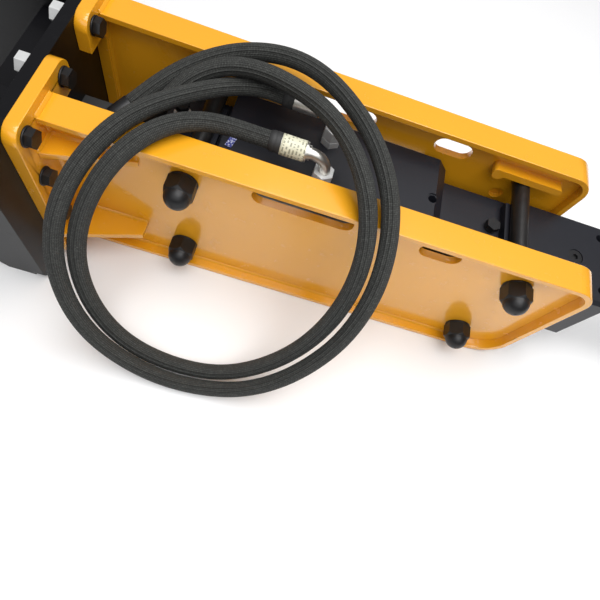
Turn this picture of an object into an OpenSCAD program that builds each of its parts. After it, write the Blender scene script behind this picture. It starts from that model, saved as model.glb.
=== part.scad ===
// Hydraulic breaker hammer, lying with its ports up.
// X runs from the excavator bracket to the chisel tip, Z is up, the origin is
// on the resting surface under the middle of the bounding box.

/* [Side plates] */
// Distance between the centres of the two webs
web_gap = 260; // [240:1:320]
// Height of a side plate
plate_h = 370; // [340:1:420]
// Distance from the bracket face to the nose of a side plate
plate_l = 1042; // [900:1:1200]
// Thickness of a web
web_t = 16; // [10:1:20]
// Width of the flat bar round a web
rim_w = 60; // [40:1:80]
// Thickness of that flat bar
rim_t = 12; // [8:1:16]
// Outer radius of the lower corner at the tool end
low_r = 75; // [40:1:110]
// Outer radius of the upper corner at the tool end
nose_r = 45; // [30:1:80]

/* [End plates] */
// Thickness of a bolted end plate
end_t = 24; // [16:1:30]
// Width of an end plate
end_w = 190; // [160:1:200]
// Height of an end plate
end_h = 392; // [380:1:420]

/* [Bracket] */
// Thickness of the base plate
base_t = 24; // [16:1:30]
// Width of the base plate
base_w = 580; // [480:1:640]
// Clear gap between the ears
ear_gap = 250; // [200:1:280]
// Thickness of an ear
ear_t = 25; // [16:1:30]
// Diameter of the two pin bores
pin_d = 60; // [45:1:70]
// Distance between the two pin axes
pin_pitch = 240; // [200:1:240]
// Distance from the bracket face back to the pin axes
pin_back = 250; // [220:1:300]

/* [Breaker body] */
// Height of the breaker axis
axis_z = 180; // [175:1:190]
// Width of the front head and back head
head_w = 200; // [190:1:206]
// Height of the front head and back head
head_h = 172; // [160:1:176]
// Width of the raised cylinder block
block_w = 206; // [200:1:210]
// Top face of the raised cylinder block
block_top = 298; // [290:1:300]
// Diameter of the through bolts
bolt_d = 36; // [30:1:36]
// Height of a through bolt above and below the axis
bolt_off = 114; // [110:1:118]

/* [Tool and piston] */
// Working diameter of the chisel
tool_d = 85; // [75:1:88]
// Chisel length
tool_l = 757; // [600:1:800]
// Piston stroke left behind the rest position
stroke = 50; // [30:1:50]
// Running clearance on a radius
run_c = 0.08; // [0.05:0.01:0.1]

/* [Hoses] */
// Outside diameter of a sleeved hose
hose_d = 32; // [28:1:34]
// Height of the elbow outlets
elbow_z = 372; // [368:1:382]

/* [Hidden] */

$fn = 48;
e = 1;                                   // overcut past a face
face_x = -628;                           // bracket face in the shared frame
bar_bolt_x = [258, 918];                 // through bolts, from the bracket face
bar_bolt_z = [axis_z - bolt_off, axis_z + bolt_off];
web_in = web_gap / 2 - web_t / 2;
web_out = web_gap / 2 + web_t / 2;
ear_in = ear_gap / 2;
ear_r = 54;                               // radius of an ear round a pin
ear_waist = 36;                          // ear behind the pins, between them
cheek_y = base_w / 2 - 20;               // inner face of an upright cheek
head_z0 = axis_z - head_h / 2;
head_z1 = axis_z + head_h / 2;
tool_r = tool_d / 2;
bolt_edge = 28;                          // end plate bolt to plate edge
bolt_rows = [bolt_edge, 150, 262, end_h - bolt_edge];
bolt_in = 68;                            // end plate bolt to the plate middle
end_y = [-126, 142];                     // middles of the near and far end plates
gusset_z = [98, 307];                    // centres of the tapered gussets
slot_z = 318;
slot_r = 20;
slot_span = [[382, 575], [705, 787]];
port_x = 495;
port_y = 54;
plug_x = 872;                            // lube plug on the low front of the cylinder
bend_r = 32;                             // centreline radius of an elbow
tube_r = 10.5;
saddle_half = 26;                        // half length of a bolt saddle
saddle_h = 18;
nut_af = 52;                             // across flats of a domed nut
back_x0 = 150;
back_x1 = bar_bolt_x[0] + saddle_half + 2;
front_x0 = bar_bolt_x[1] - saddle_half - 2;
front_x1 = 1150;
neck_w = 176;                            // narrow section between the block and the head
neck_x1 = 950;                           // shoulder of the front head
block_x0 = back_x1 + 8;
block_x1 = 754;
tool_x0 = 803;
notch_x = [980, 1060];
pin_x = 1040;
pin_r = 18;
pin_z = 46;
tie_y = 68;
tie_z = 64;
tie_r = 13;
tie_x0 = 122;
tie_x1 = 985;
chest_x = [420, 620];
spool_z = 50;
spool_r = 14;
paint_y = [0.95, 0.62, 0.08];
paint_k = [0.06, 0.06, 0.07];
oxide = [0.12, 0.12, 0.13];
zinc = [0.75, 0.76, 0.74];
steel = [0.5, 0.5, 0.52];
rubber_k = [0.04, 0.04, 0.04];

// Route of hose A, from its elbow once round to its connector.
route_a = [
  [-237, -54, 372], [-277, -54, 372], [-341, -68, 383], [-395, -103, 393], [-438, -153, 390],
  [-471, -206, 366], [-493, -252, 323], [-504, -289, 270], [-503, -319, 211], [-488, -345, 152],
  [-459, -367, 97], [-413, -385, 52], [-354, -395, 24], [-288, -398, 17], [-224, -394, 29],
  [-166, -381, 60], [-119, -362, 103], [-83, -340, 153], [-56, -314, 208], [-38, -283, 264],
  [-30, -244, 317], [-35, -198, 364], [-53, -144, 398], [-84, -88, 418], [-124, -37, 425],
  [-175, 6, 424], [-234, 36, 418], [-297, 53, 409], [-361, 49, 392], [-413, 21, 364],
  [-451, -22, 330]];
// Route of hose B, the outer loop.
route_b = [
  [-237, 54, 372], [-277, 54, 372], [-340, 33, 371], [-391, -10, 376], [-432, -61, 385],
  [-466, -117, 391], [-495, -177, 383], [-518, -232, 356], [-532, -281, 313], [-534, -320, 260],
  [-524, -352, 203], [-502, -380, 147], [-466, -403, 96], [-417, -419, 55], [-357, -429, 25],
  [-292, -433, 17], [-226, -429, 21], [-165, -419, 45], [-113, -401, 81], [-71, -378, 127],
  [-38, -351, 178], [-14, -321, 232], [1, -284, 285], [6, -240, 334], [0, -187, 374],
  [-16, -129, 401], [-43, -70, 415], [-79, -14, 420], [-123, 35, 421], [-175, 75, 421],
  [-236, 101, 415], [-301, 105, 403], [-363, 91, 385], [-418, 60, 364], [-464, 19, 341],
  [-503, -30, 318]];
coil_n = [0, -0.6, 0.8];                 // normal of the plane the loops lie in

// ---------- helpers ----------

// Places a child measured from the bracket face.
module on_face() {
  translate([face_x, 0, 0]) children();
}

// Slab drawn in X and Z, filling y0 to y1.
module slab(y0, y1) {
  translate([0, y1, 0]) rotate([90, 0, 0]) linear_extrude(y1 - y0) children();
}

// Slab drawn in Y and Z, filling x0 to x1.
module cross_slab(x0, x1) {
  translate([x0, 0, 0]) rotate([90, 0, 90]) linear_extrude(x1 - x0) children();
}

// Cylinder along X.
module rod_x(x0, x1, y, z, r) {
  translate([x0, y, z]) rotate([0, 90, 0]) cylinder(r = r, h = x1 - x0);
}

// Cylinder along Y.
module rod_y(y0, y1, x, z, r) {
  translate([x, y1, z]) rotate([90, 0, 0]) cylinder(r = r, h = y1 - y0);
}

// Box from one corner to the other.
module block(a, b) {
  translate(a) cube(b - a);
}

// Hexagonal prism along Z, given across flats.
module hex_z(af, h) {
  rotate([0, 0, 30]) cylinder(r = af / sqrt(3), h = h, $fn = 6);
}

// Rounded rectangle built from tangent circles.
module round_rect(w, h, r) {
  for (i = [-1, 1]) {
    for (j = [-1, 1]) {
      translate([i * (w / 2 - r), j * (h / 2 - r)]) circle(r = r);
    }
  }
  polygon([[-w / 2 + r, -h / 2], [w / 2 - r, -h / 2], [w / 2, -h / 2 + r],
           [w / 2, h / 2 - r], [w / 2 - r, h / 2], [-w / 2 + r, h / 2],
           [-w / 2, h / 2 - r], [-w / 2, -h / 2 + r]]);
}

// Rectangle with all four corners cut at 45 degrees.
module cut_rect(w, h, c) {
  polygon([[-w / 2 + c, -h / 2], [w / 2 - c, -h / 2], [w / 2, -h / 2 + c],
           [w / 2, h / 2 - c], [w / 2 - c, h / 2], [-w / 2 + c, h / 2],
           [-w / 2, h / 2 - c], [-w / 2, -h / 2 + c]]);
}

// Side plate outline, square at the bracket and rounded at the tool end.
module plate_outline(inset) {
  x1 = plate_l - inset;
  z0 = inset;
  z1 = plate_h - inset;
  ra = low_r - inset;
  rb = nose_r - inset;
  translate([x1 - ra, z0 + ra]) circle(r = ra);
  translate([x1 - rb, z1 - rb]) circle(r = rb);
  polygon([[end_t, z0], [x1 - ra, z0], [x1, z0 + ra], [x1, z1 - rb],
           [x1 - rb, z1], [end_t, z1]]);
}

// Long hole with round ends.
module long_hole(a, b, z, r) {
  translate([a + r, z]) circle(r = r);
  translate([b - r, z]) circle(r = r);
  translate([a + r, z - r]) square([b - a - 2 * r, 2 * r]);
}

// ---------- side plates ----------

module side_web(side) {
  y = side * web_gap / 2;
  slab(y - web_t / 2, y + web_t / 2) difference() {
    plate_outline(rim_t);
    for (s = slot_span) {
      long_hole(s[0], s[1], slot_z, slot_r);
    }
    for (x = bar_bolt_x) {
      for (z = bar_bolt_z) {
        translate([x, z]) circle(d = bolt_d + 2);
      }
    }
  }
}

// Far web, with a blind hole on its inner face next to the front bolts.
module side_web_far() {
  difference() {
    side_web(1);
    rod_y(web_in - e, web_in + 11, 892, 239, 15.5);
  }
}

module side_rim(side) {
  y = side * web_gap / 2;
  slab(y - rim_w / 2, y + rim_w / 2) difference() {
    plate_outline(0);
    plate_outline(rim_t);
    translate([end_t - e, rim_t]) square([2 * e, plate_h - 2 * rim_t]);
  }
}

function end_mid(side) = side < 0 ? end_y[0] : end_y[1];

module end_plate(side) {
  y = end_mid(side);
  cross_slab(0, end_t) difference() {
    translate([y, end_h / 2]) round_rect(end_w, end_h, 28);
    translate([y - side * 90, 209]) round_rect(120, 226, 20);
    for (z = bolt_rows) {
      translate([y + side * bolt_in, z]) circle(r = 11);
    }
    for (z = [bolt_rows[0], bolt_rows[3]]) {
      translate([y - side * bolt_in, z]) circle(r = 11);
    }
  }
}

// Tapered gussets on the outer side of a web.
module gussets(side) {
  root = web_gap / 2 + end_w / 2;
  for (i = [0, 1]) {
    tip = i == 0 ? web_out + 34 : web_out + 6;
    wide = i == 0 ? root : web_out + 48;
    translate([0, 0, gusset_z[i] - 7]) linear_extrude(14)
      polygon([[end_t, side * web_out], [end_t, side * wide], [178, side * tip],
               [178, side * web_out]]);
  }
}

// Bars welded inside a web, next to each through bolt.
module stop_bars(side) {
  for (up = [-1, 1]) {
    y0 = side > 0 ? web_in - 26 : -web_in;
    for (c = [[838, 992], [200, 316]]) {
      z0 = up > 0 ? axis_z + bolt_off + 20 : axis_z - bolt_off - 36;
      slab(y0, y0 + 26) {
        translate([c[0] + 8, z0]) square([c[1] - c[0] - 16, 16]);
        translate([c[0] + 8, z0 + 8]) circle(r = 8);
        translate([c[0] + 13, z0 + 8 - up * 5]) circle(r = 13);
        translate([c[1] - 8, z0 + 8]) circle(r = 8);
      }
    }
  }
}

// ---------- bracket ----------

module bracket_bolt_places() {
  for (s = [-1, 1]) {
    for (z = bolt_rows) {
      translate([0, end_mid(s) + s * bolt_in, z]) children();
    }
    for (z = [bolt_rows[0], bolt_rows[3]]) {
      translate([0, end_mid(s) - s * bolt_in, z]) children();
    }
  }
}

module base_plate() {
  difference() {
    cross_slab(-base_t, 0) translate([0, 388 / 2]) round_rect(base_w, 388, 24);
    bracket_bolt_places() rod_x(-base_t - e, e, 0, 0, 11);
  }
}

module ear(side) {
  z0 = axis_z - pin_pitch / 2;
  z1 = axis_z + pin_pitch / 2;
  y0 = side > 0 ? ear_in : -ear_in - ear_t;
  slab(y0, y0 + ear_t) difference() {
    union() {
      translate([-pin_back, z0]) circle(r = ear_r);
      translate([-pin_back, z1]) circle(r = ear_r);
      polygon([[-base_t, z0 - ear_r], [-base_t, 380], [-110, 380], [-pin_back, z1 + ear_r],
               [-pin_back - ear_r, z1], [-pin_back - ear_waist, axis_z + 50],
               [-pin_back - ear_waist, axis_z - 50], [-pin_back - ear_r, z0],
               [-pin_back, z0 - ear_r]]);
    }
    translate([-pin_back, z0]) circle(r = 45);
    translate([-pin_back, z1]) circle(r = 45);
    translate([-150, axis_z]) circle(r = 36);
  }
}

module pin_bushes() {
  for (s = [-1, 1]) {
    for (k = [-1, 1]) {
      y0 = s > 0 ? ear_in : -ear_in - ear_t - 10;
      difference() {
        rod_y(y0, y0 + ear_t + 10, -pin_back, axis_z + k * pin_pitch / 2, 45);
        rod_y(y0 - e, y0 + ear_t + 10 + e, -pin_back, axis_z + k * pin_pitch / 2, pin_d / 2);
      }
    }
  }
}

module inner_web() {
  for (z = [56, 302]) {
    block([-104, -ear_in, z], [-base_t, ear_in, z + 16]);
  }
}

module outer_gussets() {
  for (s = [-1, 1]) {
    for (z = [56, 196, 302]) {
      y = s * (ear_in + ear_t);
      translate([0, 0, z]) linear_extrude(16)
        polygon([[-base_t, y], [-base_t, s * cheek_y], [-96, s * cheek_y],
                 [-200, y + s * 24], [-200, y]]);
    }
  }
}

// Upright plates that close the gussets at both edges of the base plate.
module cheeks() {
  for (s = [-1, 1]) {
    y0 = s > 0 ? cheek_y : -cheek_y - 16;
    slab(y0, y0 + 16)
      polygon([[-base_t, 0], [-base_t, 388], [-84, 388], [-100, 372], [-100, 16], [-84, 0]]);
  }
}

module bracket_bolts() {
  bracket_bolt_places() {
    rod_x(-base_t - 28, end_t + 4, 0, 0, 10);
    translate([end_t + 4, 0, 0]) rotate([0, 90, 0]) hex_z(30, 13);
  }
}

module bracket_washers() {
  bracket_bolt_places() {
    difference() {
      rod_x(end_t, end_t + 4, 0, 0, 18);
      rod_x(end_t - e, end_t + 4 + e, 0, 0, 10);
    }
    difference() {
      rod_x(-base_t - 4, -base_t, 0, 0, 18);
      rod_x(-base_t - 4 - e, -base_t + e, 0, 0, 10);
    }
  }
}

module bracket_nuts() {
  bracket_bolt_places() {
    difference() {
      translate([-base_t - 24, 0, 0]) rotate([0, 90, 0]) hex_z(34, 20);
      rod_x(-base_t - 25, -base_t - 3, 0, 0, 10);
    }
  }
}

// ---------- through bolts ----------

module through_bolt_places() {
  for (x = bar_bolt_x) {
    for (z = bar_bolt_z) {
      translate([x, 0, z]) children();
    }
  }
}

module through_bolts() {
  through_bolt_places() rod_y(-web_out - 34, web_out + 34, 0, 0, bolt_d / 2);
}

module washer_y(y0, t, ro, ri) {
  difference() {
    rod_y(y0, y0 + t, 0, 0, ro);
    rod_y(y0 - e, y0 + t + e, 0, 0, ri);
  }
}

module through_bolt_washers() {
  through_bolt_places() {
    washer_y(web_out, 4, 28, bolt_d / 2);
    washer_y(-web_out - 4, 4, 28, bolt_d / 2);
  }
}

// Domed nut, a chamfered hexagon that runs into a half ball.
module cap_nut() {
  difference() {
    union() {
      intersection() {
        hex_z(nut_af, 32);
        rotate_extrude()
          polygon([[0, 0], [nut_af / 2 + 4, 0], [nut_af / 2 + 4, 26], [nut_af / 2 - 1, 32], [0, 32]]);
      }
      rotate_extrude() intersection() {
        translate([0, 31]) circle(r = nut_af / 2 - 1);
        translate([0, 30]) square([nut_af / 2, nut_af / 2 + 2]);
      }
    }
    translate([0, 0, -e]) cylinder(d = bolt_d, h = 31 + e);
  }
}

module cap_nuts() {
  through_bolt_places() {
    translate([0, web_out + 4, 0]) rotate([-90, 0, 0]) cap_nut();
    translate([0, -web_out - 4, 0]) rotate([90, 0, 0]) cap_nut();
  }
}

// ---------- breaker body ----------

// Four holes for the tie rods.
module tie_holes(x0, x1) {
  for (i = [-1, 1]) {
    for (j = [-1, 1]) {
      rod_x(x0, x1, i * tie_y, axis_z + j * tie_z, tie_r + 1);
    }
  }
}

// Ridges that seat the through bolts, above and below a head.
module saddles(cx) {
  difference() {
    union() {
      block([cx - saddle_half, -62, head_z1 - 5], [cx + saddle_half, 62, head_z1 + saddle_h]);
      block([cx - saddle_half, -62, head_z0 - saddle_h], [cx + saddle_half, 62, head_z0 + 5]);
    }
    rod_y(-90, 90, cx, bar_bolt_z[0], bolt_d / 2 + 0.5);
    rod_y(-90, 90, cx, bar_bolt_z[1], bolt_d / 2 + 0.5);
  }
}

module back_head() {
  difference() {
    union() {
      cross_slab(back_x0, back_x1) translate([0, axis_z]) cut_rect(head_w, head_h, 12);
      saddles(bar_bolt_x[0]);
    }
    rod_x(174, back_x1 + e, 0, axis_z, 45);
    tie_holes(back_x0 - e, back_x1 + e);
    translate([200, 30, head_z1 - 60]) cylinder(r = 4, h = 62);
    translate([200, 30, head_z1 - 12]) cylinder(r = 12, h = 14);
  }
}

module gas_valve() {
  translate([200, 30, head_z1 - 12]) {
    difference() {
      union() {
        cylinder(r = 12, h = 12);
        translate([0, 0, 12]) hex_z(30, 9);
        translate([0, 0, 20]) cylinder(r = 9, h = 8);
      }
      translate([0, 0, -e]) cylinder(r = 3, h = 31);
    }
  }
}

module gas_valve_cap() {
  translate([200, 30, head_z1 + 16]) hex_z(27, 12);
}

module cylinder_block() {
  z0 = axis_z - (block_top - axis_z) + 12;
  c = 24;
  difference() {
    union() {
      slab(-block_w / 2, block_w / 2)
        polygon([[block_x0, z0], [block_x1, z0], [block_x1, block_top - c],
                 [block_x1 - c, block_top], [block_x0, block_top]]);
      cross_slab(back_x1, block_x0 + e) translate([0, axis_z]) cut_rect(head_w, head_h, 12);
      cross_slab(block_x1 - e, front_x0)
        translate([0, axis_z]) cut_rect(neck_w, head_h - 6, 10);
    }
    rod_x(back_x1 - e, 382, 0, axis_z, 56);
    rod_x(381, 662, 0, axis_z, 46 + run_c + 2);
    rod_x(661, 790, 0, axis_z, 42 + run_c);
    for (x = [700, 724]) {
      rod_x(x, x + 10, 0, axis_z, 49);
    }
    rod_x(789, front_x0 + e, 0, axis_z, 56);
    tie_holes(back_x1 - e, front_x0 + e);
    for (s = [-1, 1]) {
      translate([port_x, s * port_y, block_top - 22]) cylinder(r = 13.5, h = 24);
      translate([port_x, s * port_y, 264]) cylinder(r = 8, h = block_top - 270);
    }
    translate([725, 0, block_top - 34]) cylinder(r = 9, h = 36);
    translate([725, 0, block_top - 3]) cylinder(r = 12, h = 4);
    translate([plug_x, 4, head_z1 - 15]) cylinder(r = 9, h = 16);
    for (x = [460, 580]) {
      translate([x, 0, z0 - e]) cylinder(r = 7, h = 60);
    }
  }
}

module seal_retainer() {
  difference() {
    rod_x(back_x1, 380, 0, axis_z, 56);
    rod_x(back_x1 - e, 381, 0, axis_z, 36 + run_c);
    for (x = [306, 326, 350]) {
      rod_x(x, x + 8, 0, axis_z, 43);
    }
  }
}

module ring_x(x, w, ri, ro) {
  difference() {
    rod_x(x, x + w, 0, axis_z, ro);
    rod_x(x - e, x + w + e, 0, axis_z, ri);
  }
}

module rear_seals() {
  for (x = [306, 326, 350]) {
    ring_x(x, 8, 36 + run_c, 43);
  }
}

module front_seals() {
  for (x = [700, 724]) {
    ring_x(x, 10, 42 + run_c, 49);
  }
}

module piston() {
  rotate_x_profile([[232, 0], [232, 30], [238, 36], [436, 36], [440, 40], [440, 48],
                    [510, 48], [510, 44], [550, 44], [550, 48], [620, 48], [620, 42],
                    [794, 42], [800, 37], [800, 0]]);
}

// Turned part along the breaker axis, from a half profile of [x, radius].
module rotate_x_profile(p) {
  translate([0, 0, axis_z]) rotate([0, 90, 0]) rotate_extrude()
    polygon([for (q = p) [q[1], q[0]]]);
}

module valve_chest() {
  difference() {
    block([chest_x[0], -55, 24], [chest_x[1], 55, axis_z - (block_top - axis_z) + 12]);
    rod_x(chest_x[0] - e, chest_x[1] + e, 0, spool_z, spool_r + run_c);
    for (x = [460, 580]) {
      translate([x, 0, spool_z]) cylinder(r = 7, h = 40);
    }
    for (x = [440, 520, 600]) {
      rod_x(x - 6, x + 6, 0, spool_z, spool_r + 4);
    }
  }
}

module valve_spool() {
  translate([0, 0, spool_z]) rotate([0, 90, 0]) rotate_extrude()
    polygon([for (q = [[434, 0], [434, spool_r], [478, spool_r], [478, 9], [502, 9],
                       [502, spool_r], [538, spool_r], [538, 9], [562, 9],
                       [562, spool_r], [606, spool_r], [606, 0]]) [q[1], q[0]]]);
}

module cover_bolt_places() {
  for (y = [-40, 40]) {
    for (z = [34, 60]) {
      translate([0, y, z]) children();
    }
  }
}

module valve_covers() {
  for (x = [[chest_x[0] - 14, chest_x[0]], [chest_x[1], chest_x[1] + 14]]) {
    difference() {
      block([x[0], -55, 24], [x[1], 55, 72]);
      cover_bolt_places() rod_x(x[0] - e, x[1] + e, 0, 0, 5);
    }
  }
}

module valve_cover_bolts() {
  cover_bolt_places() {
    rod_x(chest_x[0] - 14, chest_x[0], 0, 0, 5);
    rod_x(chest_x[1], chest_x[1] + 14, 0, 0, 5);
    for (k = [[chest_x[0] - 24, 0], [chest_x[1] + 14, 1]]) {
      difference() {
        rod_x(k[0], k[0] + 10, 0, 0, 8);
        translate([k[0] + (k[1] == 0 ? -e : 4), 0, 0]) rotate([0, 90, 0]) hex_z(8, 6 + e);
      }
    }
  }
}

module front_head() {
  difference() {
    union() {
      cross_slab(front_x0, neck_x1) translate([0, axis_z]) cut_rect(neck_w, head_h - 6, 10);
      cross_slab(neck_x1 - e, front_x1) translate([0, axis_z]) cut_rect(head_w, head_h, 8);
      saddles(bar_bolt_x[1]);
    }
    rod_x(front_x0 - e, 932, 0, axis_z, 56);
    rod_x(931, 1064, 0, axis_z, 50);
    rod_x(1063, front_x1 - 24, 0, axis_z, 58);
    rod_x(front_x1 - 25, front_x1 + e, 0, axis_z, 64);
    tie_holes(front_x0 - e, tie_x1 + 3);
    for (k = [-1, 1]) {
      rod_y(-head_w / 2 - e, head_w / 2 + e, pin_x, axis_z + k * pin_z, pin_r + 0.5);
    }
    translate([1071, 0, head_z1 - 50]) cylinder(r = 9, h = 52);
    translate([1071, 0, head_z1 - 8]) cylinder(r = 17, h = 10);
    translate([1131, 66, head_z1 - 40]) cylinder(r = 9, h = 42);
    translate([1131, -66, head_z1 - 40]) cylinder(r = 9, h = 42);
  }
}

module thrust_bush() {
  difference() {
    rod_x(front_x0, 932, 0, axis_z, 56);
    rod_x(front_x0 - e, 933, 0, axis_z, tool_r + run_c);
  }
}

module front_bush() {
  difference() {
    rod_x(1064, front_x1 - 25, 0, axis_z, 58);
    rod_x(1063, front_x1, 0, axis_z, tool_r + run_c);
    translate([1071, 0, axis_z + 52]) cylinder(r = 9, h = 12);
  }
}

module dust_seal() {
  difference() {
    rod_x(front_x1 - 24.5, front_x1 - 4, 0, axis_z, 64);
    rod_x(front_x1 - 26, front_x1, 0, axis_z, tool_r + 0.4);
  }
}

// Plug that locks the front bush, sunk in a round recess.
module bush_lock_plug() {
  translate([1071, 0, axis_z + 52.5]) {
    difference() {
      union() {
        cylinder(r = 9, h = head_z1 - axis_z - 60.5);
        translate([0, 0, head_z1 - axis_z - 60.5]) cylinder(r = 16.5, h = 6);
      }
      translate([0, 0, head_z1 - axis_z - 59]) hex_z(12, 8);
    }
  }
}

module retaining_pins() {
  for (k = [-1, 1]) {
    rod_y(-86, 86, pin_x, axis_z + k * pin_z, pin_r);
  }
}

module pin_plugs() {
  for (k = [-1, 1]) {
    for (s = [-1, 1]) {
      y0 = s > 0 ? 86.5 : -98.5;
      rod_y(y0, y0 + 12, pin_x, axis_z + k * pin_z, pin_r + 0.5);
    }
  }
}

module chisel() {
  tip = tool_x0 + tool_l;
  difference() {
    rotate_x_profile([[tool_x0, 0], [tool_x0, tool_r - 6], [tool_x0 + 6, tool_r],
                      [tip - 125, tool_r], [tip - 10, 8], [tip, 4], [tip, 0]]);
    for (k = [0, 1]) {
      translate([notch_x[0], -60, k == 0 ? axis_z + 27.4 : axis_z - 27.4 - 30])
        cube([notch_x[1] - notch_x[0], 120, 30]);
    }
  }
}

// ---------- tie rods ----------

module tie_places() {
  for (i = [-1, 1]) {
    for (j = [-1, 1]) {
      translate([0, i * tie_y, axis_z + j * tie_z]) children();
    }
  }
}

module tie_rods() {
  tie_places() rod_x(tie_x0, tie_x1, 0, 0, tie_r);
}

module tie_rod_nuts() {
  tie_places() {
    difference() {
      union() {
        rod_x(back_x0 - 6, back_x0, 0, 0, 23);
        translate([back_x0 - 26, 0, 0]) rotate([0, 90, 0]) hex_z(41, 21);
      }
      rod_x(back_x0 - 27, back_x0 + e, 0, 0, tie_r);
    }
  }
}

module back_buffer() {
  block([0, -30, axis_z - 50], [back_x0, 30, axis_z + 50]);
}

module wear_plates() {
  for (s = [-1, 1]) {
    y0 = s > 0 ? block_w / 2 : -web_in;
    block([330, y0, 100], [700, y0 + web_in - block_w / 2, 280]);
  }
}

// ---------- ports and fittings ----------

module port_places() {
  for (s = [-1, 1]) {
    translate([port_x, s * port_y, 0]) children();
  }
}

module port_adapters() {
  port_places() {
    difference() {
      union() {
        translate([0, 0, block_top - 16]) cylinder(r = 13.5, h = 17);
        translate([0, 0, block_top]) hex_z(36, 16);
        translate([0, 0, block_top + 15]) cylinder(r = 13, h = 13);
      }
      translate([0, 0, block_top - 17]) cylinder(r = 8, h = 50);
    }
  }
}

module swivel_nuts() {
  port_places() {
    difference() {
      translate([0, 0, block_top + 17]) hex_z(36, 24);
      translate([0, 0, block_top + 16]) cylinder(r = 13, h = 13);
      translate([0, 0, block_top + 28]) cylinder(r = tube_r, h = 18);
    }
  }
}

module elbow_tube() {
  z0 = block_top + 28;
  difference() {
    union() {
      translate([0, 0, z0]) cylinder(r = tube_r, h = elbow_z - bend_r - z0);
      translate([-bend_r, 0, elbow_z - bend_r]) rotate([90, 0, 0])
        rotate_extrude(angle = 90) translate([bend_r, 0]) circle(r = tube_r);
      rod_x(-bend_r - 40, -bend_r, 0, elbow_z, tube_r);
    }
    translate([0, 0, z0 - e]) cylinder(r = tube_r - 3, h = 6);
  }
}

module elbow_tubes() {
  port_places() elbow_tube();
}

module ferrules() {
  port_places() {
    difference() {
      union() {
        rod_x(-104, -bend_r - 8, 0, elbow_z, 18);
        rod_x(-bend_r - 8, -bend_r - 2, 0, elbow_z, 13);
      }
      rod_x(-bend_r - 41, -bend_r, 0, elbow_z, tube_r);
    }
  }
}

// Plain tag strapped on the back of the block.
module body_tag() {
  translate([314, -16, block_top]) rotate([0, 0, -12]) translate([-6, -22, 0]) cube([13, 50, 1.6]);
}

// Hexagon plug over the lubrication port.
module lube_plug() {
  translate([plug_x, 4, head_z1 - 15]) {
    cylinder(r = 9, h = 13);
    translate([0, 0, 12]) cylinder(r = 15, h = 4);
    translate([0, 0, 15]) hex_z(27, 12);
  }
}

// ---------- hoses ----------

function unit(v) = v / norm(v);

function along(p, i) = unit(p[min(i + 1, len(p) - 1)] - p[max(i - 1, 0)]);

// Ring of n points round point i of a route.
function ring(p, i, r, n) =
  let (t = along(p, i), u = unit(cross(t, coil_n)), v = cross(u, t))
  [for (k = [0 : n - 1]) p[i] + r * (cos(360 * k / n) * u + sin(360 * k / n) * v)];

// Tube swept along a route, closed with a fan at both ends.
module swept_tube(p, r, n) {
  m = len(p);
  points = concat([for (i = [0 : m - 1]) each ring(p, i, r, n)], [p[0], p[m - 1]]);
  sides = [for (i = [0 : m - 2]) for (k = [0 : n - 1]) let (j = (k + 1) % n)
    each [[i * n + k, (i + 1) * n + k, (i + 1) * n + j], [i * n + k, (i + 1) * n + j, i * n + j]]];
  first = [for (k = [0 : n - 1]) [m * n, k, (k + 1) % n]];
  last = [for (k = [0 : n - 1]) [m * n + 1, (m - 1) * n + (k + 1) % n, (m - 1) * n + k]];
  polyhedron(points = points, faces = concat(sides, first, last));
}

// Places a child at the far end of a route, with +Z along the hose.
module at_end(p) {
  m = len(p);
  d = unit(p[m - 1] - p[m - 2]);
  translate(p[m - 1]) rotate([0, acos(d[2]), atan2(d[1], d[0])]) children();
}

module hose_end() {
  cylinder(r = 17.5, h = 40);
  translate([0, 0, 39]) cylinder(r = 11, h = 8);
  translate([0, 0, 46]) hex_z(27, 20);
}

module hose_cap() {
  difference() {
    translate([0, 0, 42]) cylinder(r = 17.5, h = 30);
    translate([0, 0, 41]) cylinder(r = 15.8, h = 25);
  }
}

color(paint_k) on_face() base_plate();  // bracket_base_plate
color(paint_k) on_face() ear(-1);  // bracket_ear_near
color(paint_k) on_face() ear(1);  // bracket_ear_far
color(paint_k) on_face() inner_web();  // bracket_inner_web
color(paint_k) on_face() outer_gussets();  // bracket_outer_gussets
color(paint_k) on_face() cheeks();  // bracket_cheeks
color(steel) on_face() pin_bushes();  // bracket_pin_bushes
color(oxide) on_face() bracket_bolts();
color(oxide) on_face() bracket_washers();
color(zinc) on_face() bracket_nuts();
color(paint_y) on_face() side_web(-1);  // side_web_near
color(paint_y) on_face() side_web_far();
color(paint_y) on_face() side_rim(-1);  // side_rim_near
color(paint_y) on_face() side_rim(1);  // side_rim_far
color(paint_y) on_face() end_plate(-1);  // end_plate_near
color(paint_y) on_face() end_plate(1);  // end_plate_far
color(paint_y) on_face() gussets(-1);  // gussets_near
color(paint_y) on_face() gussets(1);  // gussets_far
color(paint_y) on_face() stop_bars(-1);  // stop_bars_near
color(paint_y) on_face() stop_bars(1);  // stop_bars_far
color(steel) on_face() wear_plates();
color(rubber_k) on_face() back_buffer();
color(oxide) on_face() through_bolts();
color(oxide) on_face() cap_nuts();
color(oxide) on_face() through_bolt_washers();
color(paint_k) on_face() back_head();
color(steel) on_face() gas_valve();
color(oxide) on_face() gas_valve_cap();
color(paint_k) on_face() cylinder_block();
color(steel) on_face() seal_retainer();
color(rubber_k) on_face() rear_seals();
color(rubber_k) on_face() front_seals();
color(steel) on_face() piston();
color(paint_k) on_face() valve_chest();
color(steel) on_face() valve_spool();
color(paint_k) on_face() valve_covers();
color(oxide) on_face() valve_cover_bolts();
color(paint_k) on_face() front_head();
color(steel) on_face() thrust_bush();
color(steel) on_face() front_bush();
color(oxide) on_face() bush_lock_plug();
color(steel) on_face() retaining_pins();
color(rubber_k) on_face() pin_plugs();
color(steel) on_face() chisel();
color(rubber_k) on_face() dust_seal();
color(steel) on_face() tie_rods();
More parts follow.
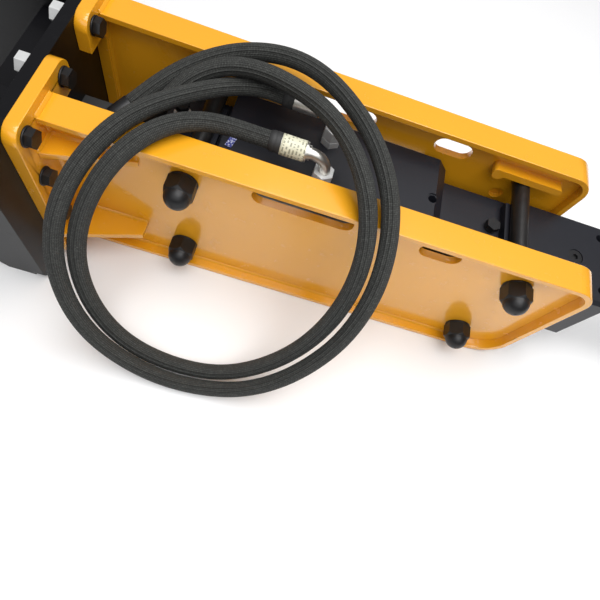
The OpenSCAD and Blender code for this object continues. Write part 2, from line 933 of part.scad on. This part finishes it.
color(oxide) on_face() tie_rod_nuts();
color(oxide) on_face() lube_plug();
color(zinc) on_face() port_adapters();
color(zinc) on_face() swivel_nuts();
color(zinc) on_face() elbow_tubes();
color(zinc) on_face() ferrules();
color([0.1, 0.15, 0.6]) on_face() body_tag();
color(rubber_k) swept_tube(route_a, hose_d / 2, 12);  // hose_a
color(rubber_k) swept_tube(route_b, hose_d / 2, 12);  // hose_b
color(zinc) at_end(route_a) hose_end();  // hose_end_a
color(zinc) at_end(route_b) hose_end();  // hose_end_b
color(rubber_k) at_end(route_a) hose_cap();  // hose_cap_a
color(rubber_k) at_end(route_b) hose_cap();  // hose_cap_b
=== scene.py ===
import bpy
import bmesh
import math
import random
import numpy as np
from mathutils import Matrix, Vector


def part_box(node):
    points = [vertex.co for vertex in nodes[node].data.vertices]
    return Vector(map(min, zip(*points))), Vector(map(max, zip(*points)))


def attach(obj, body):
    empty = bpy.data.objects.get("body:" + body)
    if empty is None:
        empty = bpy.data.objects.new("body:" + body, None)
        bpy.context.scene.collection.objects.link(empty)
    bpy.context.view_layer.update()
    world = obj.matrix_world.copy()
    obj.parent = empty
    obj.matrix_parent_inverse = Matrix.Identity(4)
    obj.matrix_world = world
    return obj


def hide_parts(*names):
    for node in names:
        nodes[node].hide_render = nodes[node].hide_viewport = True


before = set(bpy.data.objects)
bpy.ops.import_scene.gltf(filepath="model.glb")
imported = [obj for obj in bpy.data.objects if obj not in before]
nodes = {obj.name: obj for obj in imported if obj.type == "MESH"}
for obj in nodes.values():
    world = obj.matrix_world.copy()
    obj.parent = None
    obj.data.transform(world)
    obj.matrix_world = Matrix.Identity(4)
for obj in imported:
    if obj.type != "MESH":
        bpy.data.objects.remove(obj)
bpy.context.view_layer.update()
random.seed(7)


# ---------------------------------------------------------------- camera
cam_data = bpy.data.cameras.new("main_camera")
cam_data.lens = 28.8
cam_data.sensor_width = 36.0
cam_data.clip_start = 0.02
cam = bpy.data.objects.new("main_camera", cam_data)
cam.location = (-0.1956, -0.6344, 1.0418)
cam.rotation_euler = [math.radians(a) for a in (22.075, -11.847, 13.117)]
bpy.context.scene.collection.objects.link(cam)
bpy.context.scene.camera = cam


# ---------------------------------------------------------------- node helpers
class Nodes:
    """Short way to build a node material."""

    def __init__(self, name, base, rough, metal=0.0, ior=1.5):
        self.mat = bpy.data.materials.new(name)
        self.mat.use_nodes = True
        self.tree = self.mat.node_tree
        self.bsdf = self.tree.nodes["Principled BSDF"]
        self.set("Base Color", (*base, 1.0))
        self.set("Roughness", rough)
        self.set("Metallic", metal)
        self.set("IOR", ior)
        self.mat.diffuse_color = (*base, 1.0)

    def set(self, socket, value):
        self.bsdf.inputs[socket].default_value = value

    def new(self, kind, **inputs):
        n = self.tree.nodes.new(kind)
        for key, value in inputs.items():
            key = key.replace("_", " ")
            if isinstance(value, bpy.types.NodeSocket):
                self.tree.links.new(value, n.inputs[key])
            else:
                n.inputs[key].default_value = value
        return n

    def link(self, out, socket):
        self.tree.links.new(out, self.bsdf.inputs[socket])

    def math(self, op, a, b=0.0, c=0.0, clamp=False):
        n = self.tree.nodes.new("ShaderNodeMath")
        n.operation = op
        n.use_clamp = clamp
        for i, v in enumerate((a, b, c)):
            if isinstance(v, bpy.types.NodeSocket):
                self.tree.links.new(v, n.inputs[i])
            else:
                n.inputs[i].default_value = v
        return n.outputs[0]

    def coords(self, scale=(1, 1, 1), kind="Object"):
        tc = self.tree.nodes.new("ShaderNodeTexCoord")
        m = self.tree.nodes.new("ShaderNodeMapping")
        m.inputs["Scale"].default_value = scale
        self.tree.links.new(tc.outputs[kind], m.inputs["Vector"])
        return m.outputs["Vector"]

    def noise(self, vec, scale, detail=3.0, rough=0.5):
        n = self.new("ShaderNodeTexNoise", Vector=vec, Scale=scale, Detail=detail, Roughness=rough)
        return n.outputs["Fac"]

    def ramp(self, fac, stops):
        n = self.tree.nodes.new("ShaderNodeValToRGB")
        self.tree.links.new(fac, n.inputs["Fac"])
        el = n.color_ramp.elements
        while len(el) < len(stops):
            el.new(0.5)
        for e, (pos, col) in zip(el, stops):
            e.position = pos
            e.color = (*col, 1.0) if len(col) == 3 else col
        return n.outputs["Color"]

    def mix(self, fac, a, b):
        n = self.tree.nodes.new("ShaderNodeMix")
        n.data_type = "RGBA"
        for i, v in ((0, fac), (6, a), (7, b)):
            if isinstance(v, bpy.types.NodeSocket):
                self.tree.links.new(v, n.inputs[i])
            else:
                n.inputs[i].default_value = (*v, 1.0) if isinstance(v, tuple) else v
        return n.outputs[2]

    def bump(self, height, strength, distance, normal=None):
        n = self.new("ShaderNodeBump", Height=height, Strength=strength, Distance=distance)
        if normal is not None:
            self.tree.links.new(normal, n.inputs["Normal"])
        return n.outputs["Normal"]


def grey(v):
    return (v, v, v)


# ---------------------------------------------------------------- materials
def enamel(name, base, dark, rough, peel=0.10, coat=0.5, spec=0.5):
    m = Nodes(name, base, rough, ior=1.5)
    v = m.coords()
    cloud = m.noise(v, 5.0, 4.0)
    grime = m.noise(v, 38.0, 6.0, 0.65)
    spots = m.ramp(grime, [(0.60, grey(0.0)), (0.82, grey(1.0))])
    tint = m.mix(cloud, base, tuple(c * 0.93 for c in base))
    fac = m.math("MULTIPLY", spots, 0.22)
    m.link(m.mix(fac, tint, dark), "Base Color")
    m.link(m.math("MULTIPLY_ADD", spots, 0.10, rough), "Roughness")
    orange = m.noise(v, 260.0, 2.0)
    m.link(m.bump(orange, peel, 0.0006), "Normal")
    m.set("Specular IOR Level", spec)
    m.set("Coat Weight", coat)
    m.set("Coat Roughness", 0.07)
    return m.mat


def metal(name, base, rough, metallic, streak=60.0, bump=0.12, dull=0.6):
    m = Nodes(name, base, rough, metallic)
    v = m.coords()
    cloud = m.noise(v, streak, 5.0, 0.6)
    fine = m.noise(v, 900.0, 2.0)
    m.link(m.mix(cloud, tuple(c * dull for c in base), base), "Base Color")
    m.link(m.math("MULTIPLY_ADD", cloud, 0.22, rough - 0.08, clamp=True), "Roughness")
    m.link(m.bump(fine, bump, 0.0004), "Normal")
    return m.mat


def casting(name, base, light, rough):
    m = Nodes(name, base, rough)
    v = m.coords()
    grain = m.noise(v, 420.0, 4.0, 0.6)
    cloud = m.noise(v, 9.0, 5.0)
    scuff = m.ramp(m.noise(v, 70.0, 8.0, 0.72), [(0.66, grey(0.0)), (0.74, grey(1.0))])
    tint = m.mix(cloud, base, tuple(c * 1.5 for c in base))
    m.link(m.mix(m.math("MULTIPLY", scuff, 0.22), tint, light), "Base Color")
    m.link(m.math("MULTIPLY_ADD", cloud, 0.16, rough), "Roughness")
    m.link(m.bump(grain, 0.16, 0.0008), "Normal")
    m.set("Specular IOR Level", 0.35)
    m.set("Coat Weight", 0.14)
    m.set("Coat Roughness", 0.22)
    return m.mat


def soft(name, base, rough, scale=240.0, depth=0.2):
    m = Nodes(name, base, rough)
    v = m.coords()
    cloud = m.noise(v, 30.0, 4.0)
    m.link(m.mix(cloud, base, tuple(min(1.0, c * 1.7) for c in base)), "Base Color")
    m.link(m.bump(m.noise(v, scale, 3.0), depth, 0.0008), "Normal")
    return m.mat


CREASES = (0.215, 0.285, 0.70)           # places round the sleeve, in turns


def sleeve(name):
    """Woven textile sleeve. U runs once round the tube, V is length over circumference."""
    m = Nodes(name, (0.03, 0.031, 0.030), 0.78)
    uv = m.tree.nodes.new("ShaderNodeUVMap")
    uv.uv_map = "sleeve"
    sep = m.new("ShaderNodeSeparateXYZ", Vector=uv.outputs["UV"])
    u = sep.outputs["X"]
    w = sep.outputs["Y"]
    count = 28.0
    cu = m.math("MULTIPLY", u, count)
    cv = m.math("MULTIPLY", w, count * 1.25)
    fu = m.math("SINE", m.math("MULTIPLY", m.math("FRACT", cu), math.pi))
    fv = m.math("SINE", m.math("MULTIPLY", m.math("FRACT", cv), math.pi))
    par = m.math("MODULO", m.math("ADD", m.math("FLOOR", cu), m.math("FLOOR", cv)), 2.0)
    over = m.math("GREATER_THAN", par, 0.5)
    inv = m.math("SUBTRACT", 1.0, over)
    height = m.math("ADD", m.math("MULTIPLY", over, fu), m.math("MULTIPLY", inv, fv))
    cell = m.new("ShaderNodeCombineXYZ", X=m.math("FLOOR", cu), Y=m.math("FLOOR", cv))
    rnd = m.new("ShaderNodeTexWhiteNoise", Vector=cell.outputs["Vector"]).outputs["Value"]
    fleck = m.ramp(rnd, [(0.45, grey(0.0)), (0.95, grey(1.0))])
    streak = m.new("ShaderNodeCombineXYZ", X=m.math("MULTIPLY", u, 90.0), Y=m.math("MULTIPLY", w, 2.5))
    run = m.noise(streak.outputs["Vector"], 1.0, 2.0)
    even = m.math("MULTIPLY_ADD", fleck, 0.22, m.math("MULTIPLY_ADD", run, 0.30, 0.30))
    # colour follows yarn height: painted shade darkens the gaps between yarns and lightens their crowns, on
    # top of the yarn's own flecks and streaks of tone
    tone_with_gap_shade = m.math("MULTIPLY", even, height)
    dark = m.mix(height, (0.002, 0.002, 0.002), (0.010, 0.0105, 0.010))
    m.link(m.mix(tone_with_gap_shade, dark, (0.115, 0.118, 0.110)), "Base Color")
    # creases run along the tube: a close pair, and one nearly opposite
    ridge = None
    for centre in CREASES:
        d = m.math("ABSOLUTE", m.math("SUBTRACT", u, centre))
        r = m.math("SUBTRACT", 1.0, m.math("MULTIPLY", d, 60.0), clamp=True)
        ridge = r if ridge is None else m.math("MAXIMUM", ridge, r)
    tall = m.math("MULTIPLY_ADD", ridge, 3.6, m.math("MULTIPLY", height, 1.0))
    m.link(m.bump(tall, 0.75, 0.0011), "Normal")
    m.set("Specular IOR Level", 0.2)
    m.set("Sheen Weight", 0.02)
    m.set("Sheen Roughness", 0.5)
    return m.mat


def printed_label(name):
    """Cream label with plain grey bars, nothing legible."""
    m = Nodes(name, (0.72, 0.70, 0.55), 0.42)
    uv = m.tree.nodes.new("ShaderNodeUVMap")
    uv.uv_map = "face"
    sep = m.new("ShaderNodeSeparateXYZ", Vector=uv.outputs["UV"])
    rows = m.math("FRACT", m.math("MULTIPLY", sep.outputs["X"], 7.0))
    bar = m.math("GREATER_THAN", rows, 0.52)
    block = m.new("ShaderNodeCombineXYZ", X=m.math("FLOOR", m.math("MULTIPLY", sep.outputs["X"], 7.0)),
                  Y=m.math("FLOOR", m.math("MULTIPLY", sep.outputs["Y"], 44.0)))
    rnd = m.new("ShaderNodeTexWhiteNoise", Vector=block.outputs["Vector"]).outputs["Value"]
    ink = m.math("MULTIPLY", bar, m.math("GREATER_THAN", rnd, 0.50))
    edge = m.math("MINIMUM", sep.outputs["Y"], m.math("SUBTRACT", 1.0, sep.outputs["Y"]))
    ink = m.math("MULTIPLY", ink, m.math("GREATER_THAN", edge, 0.08))
    stain = m.noise(m.coords(), 60.0, 4.0)
    paper = m.mix(stain, (0.80, 0.78, 0.62), (0.62, 0.60, 0.42))
    m.link(m.mix(m.math("MULTIPLY", ink, 0.62), paper, (0.09, 0.09, 0.06)), "Base Color")
    m.link(m.bump(stain, 0.1, 0.0004), "Normal")
    return m.mat


def speckled(name):
    m = Nodes(name, (0.05, 0.07, 0.36), 0.3)
    v = m.coords()
    n = m.ramp(m.noise(v, 330.0, 2.0), [(0.52, grey(0.0)), (0.60, grey(1.0))])
    m.link(m.mix(n, (0.025, 0.035, 0.26), (0.62, 0.65, 0.78)), "Base Color")
    m.link(m.bump(n, 0.1, 0.0003), "Normal")
    return m.mat


yellow = enamel("yellow_enamel", (0.86, 0.385, 0.013), (0.42, 0.15, 0.01), 0.26, peel=0.05, coat=0.8)
black_paint = enamel("black_enamel", (0.003, 0.003, 0.004), (0.02, 0.02, 0.022), 0.40, coat=0.06, spec=0.22)
black_cast = casting("black_casting", (0.006, 0.0065, 0.010), (0.05, 0.05, 0.055), 0.34)
oxide = metal("black_oxide", (0.018, 0.018, 0.019), 0.36, 0.35, bump=0.2)
zinc = metal("bright_zinc", (0.86, 0.87, 0.86), 0.42, 0.55, dull=0.9)
satin = metal("satin_silver", (0.74, 0.72, 0.67), 0.34, 1.0, streak=40.0, dull=0.8)
machined = metal("machined_steel", (0.50, 0.50, 0.51), 0.28, 1.0, bump=0.15)
forged = metal("forged_steel", (0.20, 0.20, 0.205), 0.38, 0.9, streak=22.0, bump=0.3)
bronze = metal("bronze", (0.50, 0.34, 0.14), 0.35, 1.0)
oiled = metal("oiled_bolt", (0.045, 0.043, 0.042), 0.30, 0.7, streak=45.0, bump=0.2)
rubber = soft("black_rubber", (0.018, 0.018, 0.018), 0.62)
plastic = soft("black_plastic", (0.012, 0.012, 0.012), 0.42, 500.0, 0.1)
hose_mat = sleeve("woven_sleeve")
label_mat = printed_label("cream_label")
tag_mat = speckled("speckled_blue")

MATERIALS = {
    yellow: ["side_web_near", "side_web_far", "side_rim_near", "side_rim_far", "end_plate_near",
             "end_plate_far", "gussets_near", "gussets_far", "stop_bars_near", "stop_bars_far"],
    black_paint: ["bracket_base_plate", "bracket_ear_near", "bracket_ear_far", "bracket_inner_web",
                  "bracket_outer_gussets", "bracket_cheeks"],
    machined: ["bracket_pin_bushes", "wear_plates", "seal_retainer", "piston", "valve_spool",
               "retaining_pins", "tie_rods"],
    oxide: ["bracket_bolts", "bracket_washers", "cap_nuts", "through_bolt_washers", "tie_rod_nuts",
            "valve_cover_bolts", "gas_valve_cap", "bush_lock_plug", "lube_plug", "hose_end_a",
            "hose_end_b"],
    oiled: ["through_bolts"],
    zinc: ["bracket_nuts", "port_adapters", "swivel_nuts", "gas_valve"],
    satin: ["elbow_tubes", "ferrules"],
    black_cast: ["back_head", "cylinder_block", "valve_chest", "valve_covers", "front_head"],
    forged: ["chisel"],
    bronze: ["thrust_bush", "front_bush"],
    rubber: ["rear_seals", "front_seals", "dust_seal", "pin_plugs", "back_buffer"],
    plastic: ["hose_cap_a", "hose_cap_b"],
    hose_mat: ["hose_a", "hose_b"],
    tag_mat: ["body_tag"],
}

# width of the rounded edge given to each carried-over node, metres
ROUND = {yellow: 0.0016, black_paint: 0.0014, black_cast: 0.0016, oxide: 0.0012, zinc: 0.0008}

for mat, names in MATERIALS.items():
    for name in names:
        ob = nodes[name]
        ob.data.materials.clear()
        ob.data.materials.append(mat)
        for p in ob.data.polygons:
            p.material_index = 0
        weld = ob.modifiers.new("weld", "WELD")
        weld.merge_threshold = 0.00002
        if mat in ROUND:
            bev = ob.modifiers.new("edge", "BEVEL")
            bev.width = ROUND[mat]
            bev.segments = 2
            bev.limit_method = "ANGLE"
            bev.angle_limit = math.radians(32)
            bev.harden_normals = True


# ---------------------------------------------------------------- mesh helpers
def make(name, verts, faces, mat, body="hammer", smooth=True, uvs=None, uv_name="face"):
    me = bpy.data.meshes.new(name)
    me.from_pydata([tuple(v) for v in verts], [], faces)
    me.materials.append(mat)
    if uvs is not None:
        layer = me.uv_layers.new(name=uv_name)
        layer.data.foreach_set("uv", np.asarray(uvs, float).ravel())
    me.validate()
    me.update()
    if smooth:
        me.polygons.foreach_set("use_smooth", [True] * len(me.polygons))
    ob = bpy.data.objects.new(name, me)
    bpy.context.scene.collection.objects.link(ob)
    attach(ob, body)
    return ob


def spline(points, step):
    """Natural cubic through the points, clamped along the first and last chords."""
    p = np.array(points, float)
    h = np.linalg.norm(np.diff(p, axis=0), axis=1)
    n = len(p)
    a = np.zeros((n, n))
    b = np.zeros((n, 3))
    a[0, 0] = a[-1, -1] = 1.0
    b[0] = (p[1] - p[0]) / h[0]
    b[-1] = (p[-1] - p[-2]) / h[-1]
    for i in range(1, n - 1):
        a[i, i - 1] = h[i]
        a[i, i] = 2.0 * (h[i - 1] + h[i])
        a[i, i + 1] = h[i - 1]
        b[i] = 3.0 * (h[i] * (p[i] - p[i - 1]) / h[i - 1] + h[i - 1] * (p[i + 1] - p[i]) / h[i])
    m = np.linalg.solve(a, b)
    out = []
    for i in range(n - 1):
        k = max(2, int(round(h[i] / step)))
        for t in np.arange(k) / k:
            h00 = 2 * t**3 - 3 * t**2 + 1
            h10 = t**3 - 2 * t**2 + t
            h01 = -2 * t**3 + 3 * t**2
            h11 = t**3 - t**2
            out.append(h00 * p[i] + h10 * h[i] * m[i] + h01 * p[i + 1] + h11 * h[i] * m[i + 1])
    out.append(p[-1])
    return np.array(out)


def frames(path, ref):
    """Unit tangent and two normals at each point, kept square to one reference direction."""
    t = np.gradient(path, axis=0)
    t /= np.linalg.norm(t, axis=1)[:, None]
    u = np.cross(t, np.array(ref, float))
    u /= np.linalg.norm(u, axis=1)[:, None]
    return t, u, np.cross(u, t)


# ---------------------------------------------------------------- hoses
HOSE_D = 0.032
ROUTE_A = [
    (-237, -54, 372), (-277, -54, 372), (-341, -68, 383), (-395, -103, 393), (-438, -153, 390),
    (-471, -206, 366), (-493, -252, 323), (-504, -289, 270), (-503, -319, 211), (-488, -345, 152),
    (-459, -367, 97), (-413, -385, 52), (-354, -395, 24), (-288, -398, 17), (-224, -394, 29),
    (-166, -381, 60), (-119, -362, 103), (-83, -340, 153), (-56, -314, 208), (-38, -283, 264),
    (-30, -244, 317), (-35, -198, 364), (-53, -144, 398), (-84, -88, 418), (-124, -37, 425),
    (-175, 6, 424), (-234, 36, 418), (-297, 53, 409), (-361, 49, 392), (-413, 21, 364),
    (-451, -22, 330),
]
ROUTE_B = [
    (-237, 54, 372), (-277, 54, 372), (-340, 33, 371), (-391, -10, 376), (-432, -61, 385),
    (-466, -117, 391), (-495, -177, 383), (-518, -232, 356), (-532, -281, 313), (-534, -320, 260),
    (-524, -352, 203), (-502, -380, 147), (-466, -403, 96), (-417, -419, 55), (-357, -429, 25),
    (-292, -433, 17), (-226, -429, 21), (-165, -419, 45), (-113, -401, 81), (-71, -378, 127),
    (-38, -351, 178), (-14, -321, 232), (1, -284, 285), (6, -240, 334), (0, -187, 374),
    (-16, -129, 401), (-43, -70, 415), (-79, -14, 420), (-123, 35, 421), (-175, 75, 421),
    (-236, 101, 415), (-301, 105, 403), (-363, 91, 385), (-418, 60, 364), (-464, 19, 341),
    (-503, -30, 318),
]


def hose(name, route, node, seed):
    pts = np.array(route, float) / 1000.0
    path = spline(pts, 0.004)
    seg = np.linalg.norm(np.diff(path, axis=0), axis=1)
    s = np.concatenate([[0.0], np.cumsum(seg)])
    t, u, v = frames(path, (0.0, -0.6, 0.8))
    sides = 48
    rs = random.Random(seed)
    waves = [(rs.uniform(6, 30), rs.uniform(0, 6.3), rs.randint(1, 3), rs.uniform(0, 6.3)) for _ in range(7)]
    ang = np.arange(sides + 1) * 2 * math.pi / sides
    rad = np.full((len(path), sides + 1), HOSE_D / 2)
    for f, ph, k, pa in waves:
        rad += 0.00011 * np.sin(f * s[:, None] + ph) * np.cos(k * ang[None, :] + pa)
    ends = np.clip(np.minimum(s, s[-1] - s) / 0.03, 0, 1)[:, None]
    rad = HOSE_D / 2 + (rad - HOSE_D / 2) * ends
    co = (path[:, None, :] + rad[..., None] * (np.cos(ang)[None, :, None] * u[:, None, :]
                                              + np.sin(ang)[None, :, None] * v[:, None, :]))
    verts = co[:, :sides, :].reshape(-1, 3)
    faces = []
    uvs = []
    turn = 2 * math.pi * HOSE_D / 2
    drift = 0.045 * np.sin(s * 2.1 + seed) + 0.03 * np.sin(s * 5.3 + 2 * seed)
    for i in range(len(path) - 1):
        for k in range(sides):
            j = (k + 1) % sides
            faces.append((i * sides + k, (i + 1) * sides + k, (i + 1) * sides + j, i * sides + j))
            for a, b in ((i, k), (i + 1, k), (i + 1, k + 1), (i, k + 1)):
                uvs.append((b / sides + drift[a], s[a] / turn))
    first = len(verts)
    verts = np.vstack([verts, path[:1], path[-1:]])
    last = (len(path) - 1) * sides
    for k in range(sides):
        j = (k + 1) % sides
        faces.append((first, k, j))
        faces.append((first + 1, last + j, last + k))
        uvs += [(0.5, 0.0)] * 6
    ob = make(name, verts, faces, hose_mat, uvs=uvs, uv_name="sleeve")
    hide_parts(node)


hose("hose_a_sleeve", ROUTE_A, "hose_a", 1)
hose("hose_b_sleeve", ROUTE_B, "hose_b", 2)


# ---------------------------------------------------------------- weld beads
def bead(name, a, b, normals, size=0.006, mat=yellow):
    """Rippled fillet along the corner from a to b, between two surfaces with these normals."""
    a, b = Vector(a), Vector(b)
    n1, n2 = (Vector(n).normalized() for n in normals)
    d = (b - a).normalized()
    length = (b - a).length
    count = max(8, int(length / 0.0016))
    arc = 9
    verts, faces = [], []
    rs = random.Random(name)
    for i in range(count + 1):
        s = i / count
        end = min(1.0, min(s, 1 - s) * length / 0.004 + 0.15)
        ripple = 0.10 * abs(math.sin(math.pi * s * length / 0.0045)) + rs.uniform(-0.03, 0.03)
        r = size * end * (0.92 + ripple)
        for k in range(arc):
            q = math.pi / 2 * k / (arc - 1)
            bulge = 1.0 - 0.22 * math.sin(2 * q)
            out = (n1 * math.cos(q) + n2 * math.sin(q)) * r * bulge
            verts.append(a + d * (s * length) + out - (n1 + n2) * 0.0004)
    for i in range(count):
        for k in range(arc - 1):
            faces.append((i * arc + k, i * arc + k + 1, (i + 1) * arc + k + 1, (i + 1) * arc + k))
    ob = make(name, verts, faces, mat)
    bm = bmesh.new()
    bm.from_mesh(ob.data)
    bmesh.ops.recalc_face_normals(bm, faces=bm.faces)
    bm.to_mesh(ob.data)
    bm.free()
    return ob


for side, tag in ((-1, "near"), (1, "far")):
    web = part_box("side_web_" + tag)
    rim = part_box("side_rim_" + tag)
    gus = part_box("gussets_" + tag)
    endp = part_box("end_plate_" + tag)
    out_y = web[0][1] if side < 0 else web[1][1]
    in_y = web[1][1] if side < 0 else web[0][1]
    rim_out = rim[0][1] if side < 0 else rim[1][1]
    rim_in = rim[1][1] if side < 0 else rim[0][1]
    top = rim[1][2]
    face = endp[1][0]
    under = web[1][2]
    floor_in = web[0][2]
    x0, x1 = face, rim[1][0] - 0.075
    out_n = (0, side, 0)
    in_n = (0, -side, 0)
    # along the upper and lower rims, both sides of the web
    bead("weld_rim_top_out_" + tag, (x0, out_y, under), (x1 + 0.02, out_y, under), (out_n, (0, 0, -1)), 0.005)
    bead("weld_rim_low_out_" + tag, (x0, out_y, floor_in), (x1, out_y, floor_in), (out_n, (0, 0, 1)), 0.005)
    bead("weld_rim_top_in_" + tag, (x0, in_y, under), (x1 + 0.02, in_y, under), (in_n, (0, 0, -1)), 0.004)
    bead("weld_rim_low_in_" + tag, (x0, in_y, floor_in), (x1, in_y, floor_in), (in_n, (0, 0, 1)), 0.004)
    # rim to end plate, on top and at its two free edges
    bead("weld_end_top_" + tag, (face, rim_in, top), (face, rim_out, top), ((1, 0, 0), (0, 0, 1)), 0.006)
    bead("weld_end_web_" + tag, (face, out_y, floor_in), (face, out_y, under), ((1, 0, 0), out_n), 0.006)
    bead("weld_end_inner_" + tag, (face, in_y, floor_in), (face, in_y, under), ((1, 0, 0), in_n), 0.005)
    # gussets to web and to end plate, above and below each
    for z in (0.098, 0.307):
        wide = gus[0][1] if side < 0 else gus[1][1]
        if z > 0.2:
            wide = out_y + side * 0.048
        for up in (-1, 1):
            zz = z + up * 0.007
            lab = "%s_%d_%d" % (tag, round(z * 1000), up)
            corner = (face, out_y, zz)
            bead("weld_gusset_web_" + lab, corner, (gus[1][0], out_y, zz), (out_n, (0, 0, up)), 0.005)
            bead("weld_gusset_end_" + lab, corner, (face, wide, zz), ((1, 0, 0), (0, 0, up)), 0.005)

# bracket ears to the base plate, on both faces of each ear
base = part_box("bracket_base_plate")
for side, tag in ((-1, "near"), (1, "far")):
    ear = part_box("bracket_ear_" + tag)
    yo = ear[0][1] if side < 0 else ear[1][1]
    yi = ear[1][1] if side < 0 else ear[0][1]
    for y, n, lab in ((yo, side, "out"), (yi, -side, "in")):
        for word, low, high in (("ear", 0.075, 0.195), ("ear2", 0.214, 0.300)):
            bead("weld_%s_%s_%s" % (word, lab, tag), (base[0][0], y, low), (base[0][0], y, high),
                 ((-1, 0, 0), (0, n, 0)), 0.007, black_paint)


# ---------------------------------------------------------------- labels
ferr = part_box("ferrules")


def wrap_label(name, x0, x1, y, z, r, a0, a1, mat):
    cols, rows = 10, 28
    verts, faces, uvs = [], [], []
    for i in range(cols + 1):
        for k in range(rows + 1):
            a = math.radians(a0 + (a1 - a0) * k / rows)
            verts.append((x0 + (x1 - x0) * i / cols, y + r * math.sin(a), z + r * math.cos(a)))
    for i in range(cols):
        for k in range(rows):
            here = i * (rows + 1) + k
            q = (here, here + rows + 1, here + rows + 2, here + 1)
            faces.append(q)
            for w in q:
                uvs.append(((w // (rows + 1)) / cols, (w % (rows + 1)) / rows))
    ob = make(name, verts, faces, mat, uvs=uvs)
    th = ob.modifiers.new("thick", "SOLIDIFY")
    th.thickness = 0.0006
    th.offset = 1.0
    return ob


port_y = 0.054
out_z = 0.372
wrap_label("ferrule_label", ferr[0][0] + 0.016, ferr[1][0] - 0.010, -port_y, out_z, 0.0182, -150, 150,
           label_mat)


def collar(name, y, z):
    """Rubber collar that holds the sleeve on its ferrule, with two shallow bands."""
    x0 = ferr[0][0]
    prof = [(-0.006, 0.0163), (-0.005, 0.0172), (0.0, 0.0188), (0.003, 0.0190), (0.004, 0.0186),
            (0.006, 0.0186), (0.007, 0.0190), (0.010, 0.0190), (0.011, 0.0186), (0.013, 0.0186),
            (0.0145, 0.0188), (0.0155, 0.0184), (0.0157, 0.0181)]
    n = 40
    verts = [(x0 + dx, y + r * math.sin(2 * math.pi * k / n), z + r * math.cos(2 * math.pi * k / n))
             for dx, r in prof for k in range(n)]
    faces = [(i * n + k, (i + 1) * n + k, (i + 1) * n + (k + 1) % n, i * n + (k + 1) % n)
             for i in range(len(prof) - 1) for k in range(n)]
    return make(name, verts, faces, rubber)


collar("sleeve_collar_a", -port_y, out_z)
collar("sleeve_collar_b", port_y, out_z)


# ---------------------------------------------------------------- stage and light
def plane(name, size, z, mat):
    me = bpy.data.meshes.new(name)
    corners = [(-size, -size, z), (size, -size, z), (size, size, z), (-size, size, z)]
    me.from_pydata(corners, [], [(0, 1, 2, 3)])
    me.materials.append(mat)
    ob = bpy.data.objects.new(name, me)
    bpy.context.scene.collection.objects.link(ob)
    return ob


floor_m = Nodes("pale_floor", (0.93, 0.93, 0.93), 0.9)
plane("floor", 8.0, -0.0005, floor_m.mat)

world = bpy.data.worlds.new("studio")
bpy.context.scene.world = world
world.use_nodes = True
wt = world.node_tree
bg = wt.nodes["Background"]
tc = wt.nodes.new("ShaderNodeTexCoord")
sep = wt.nodes.new("ShaderNodeSeparateXYZ")
sky = wt.nodes.new("ShaderNodeValToRGB")
wt.links.new(tc.outputs["Generated"], sep.inputs["Vector"])
wt.links.new(sep.outputs["Z"], sky.inputs["Fac"])
sky.color_ramp.elements[0].position = 0.05
sky.color_ramp.elements[0].color = (0.045, 0.045, 0.05, 1.0)
sky.color_ramp.elements[1].position = 0.85
sky.color_ramp.elements[1].color = (0.42, 0.42, 0.43, 1.0)
wt.links.new(sky.outputs["Color"], bg.inputs["Color"])
bg.inputs["Strength"].default_value = 1.0


def area(name, loc, target, size, power, colour=(1, 1, 1)):
    li = bpy.data.lights.new(name, "AREA")
    li.shape = "RECTANGLE"
    li.size, li.size_y = size
    li.energy = power
    li.color = colour
    ob = bpy.data.objects.new(name, li)
    ob.location = loc
    ob.rotation_euler = (Vector(target) - Vector(loc)).to_track_quat("-Z", "Y").to_euler()
    bpy.context.scene.collection.objects.link(ob)
    return ob


area("key_light", (0.3, -0.1, 3.0), (0, 0, 0.2), (3.2, 2.4), 104)
area("floor_light", (-0.1, -2.1, 1.9), (-0.1, -2.0, 0.0), (3.6, 1.6), 20)

view = bpy.context.scene.view_settings
view.view_transform = "Standard"
view.look = "None"
view.exposure = 0.0
view.gamma = 1.0
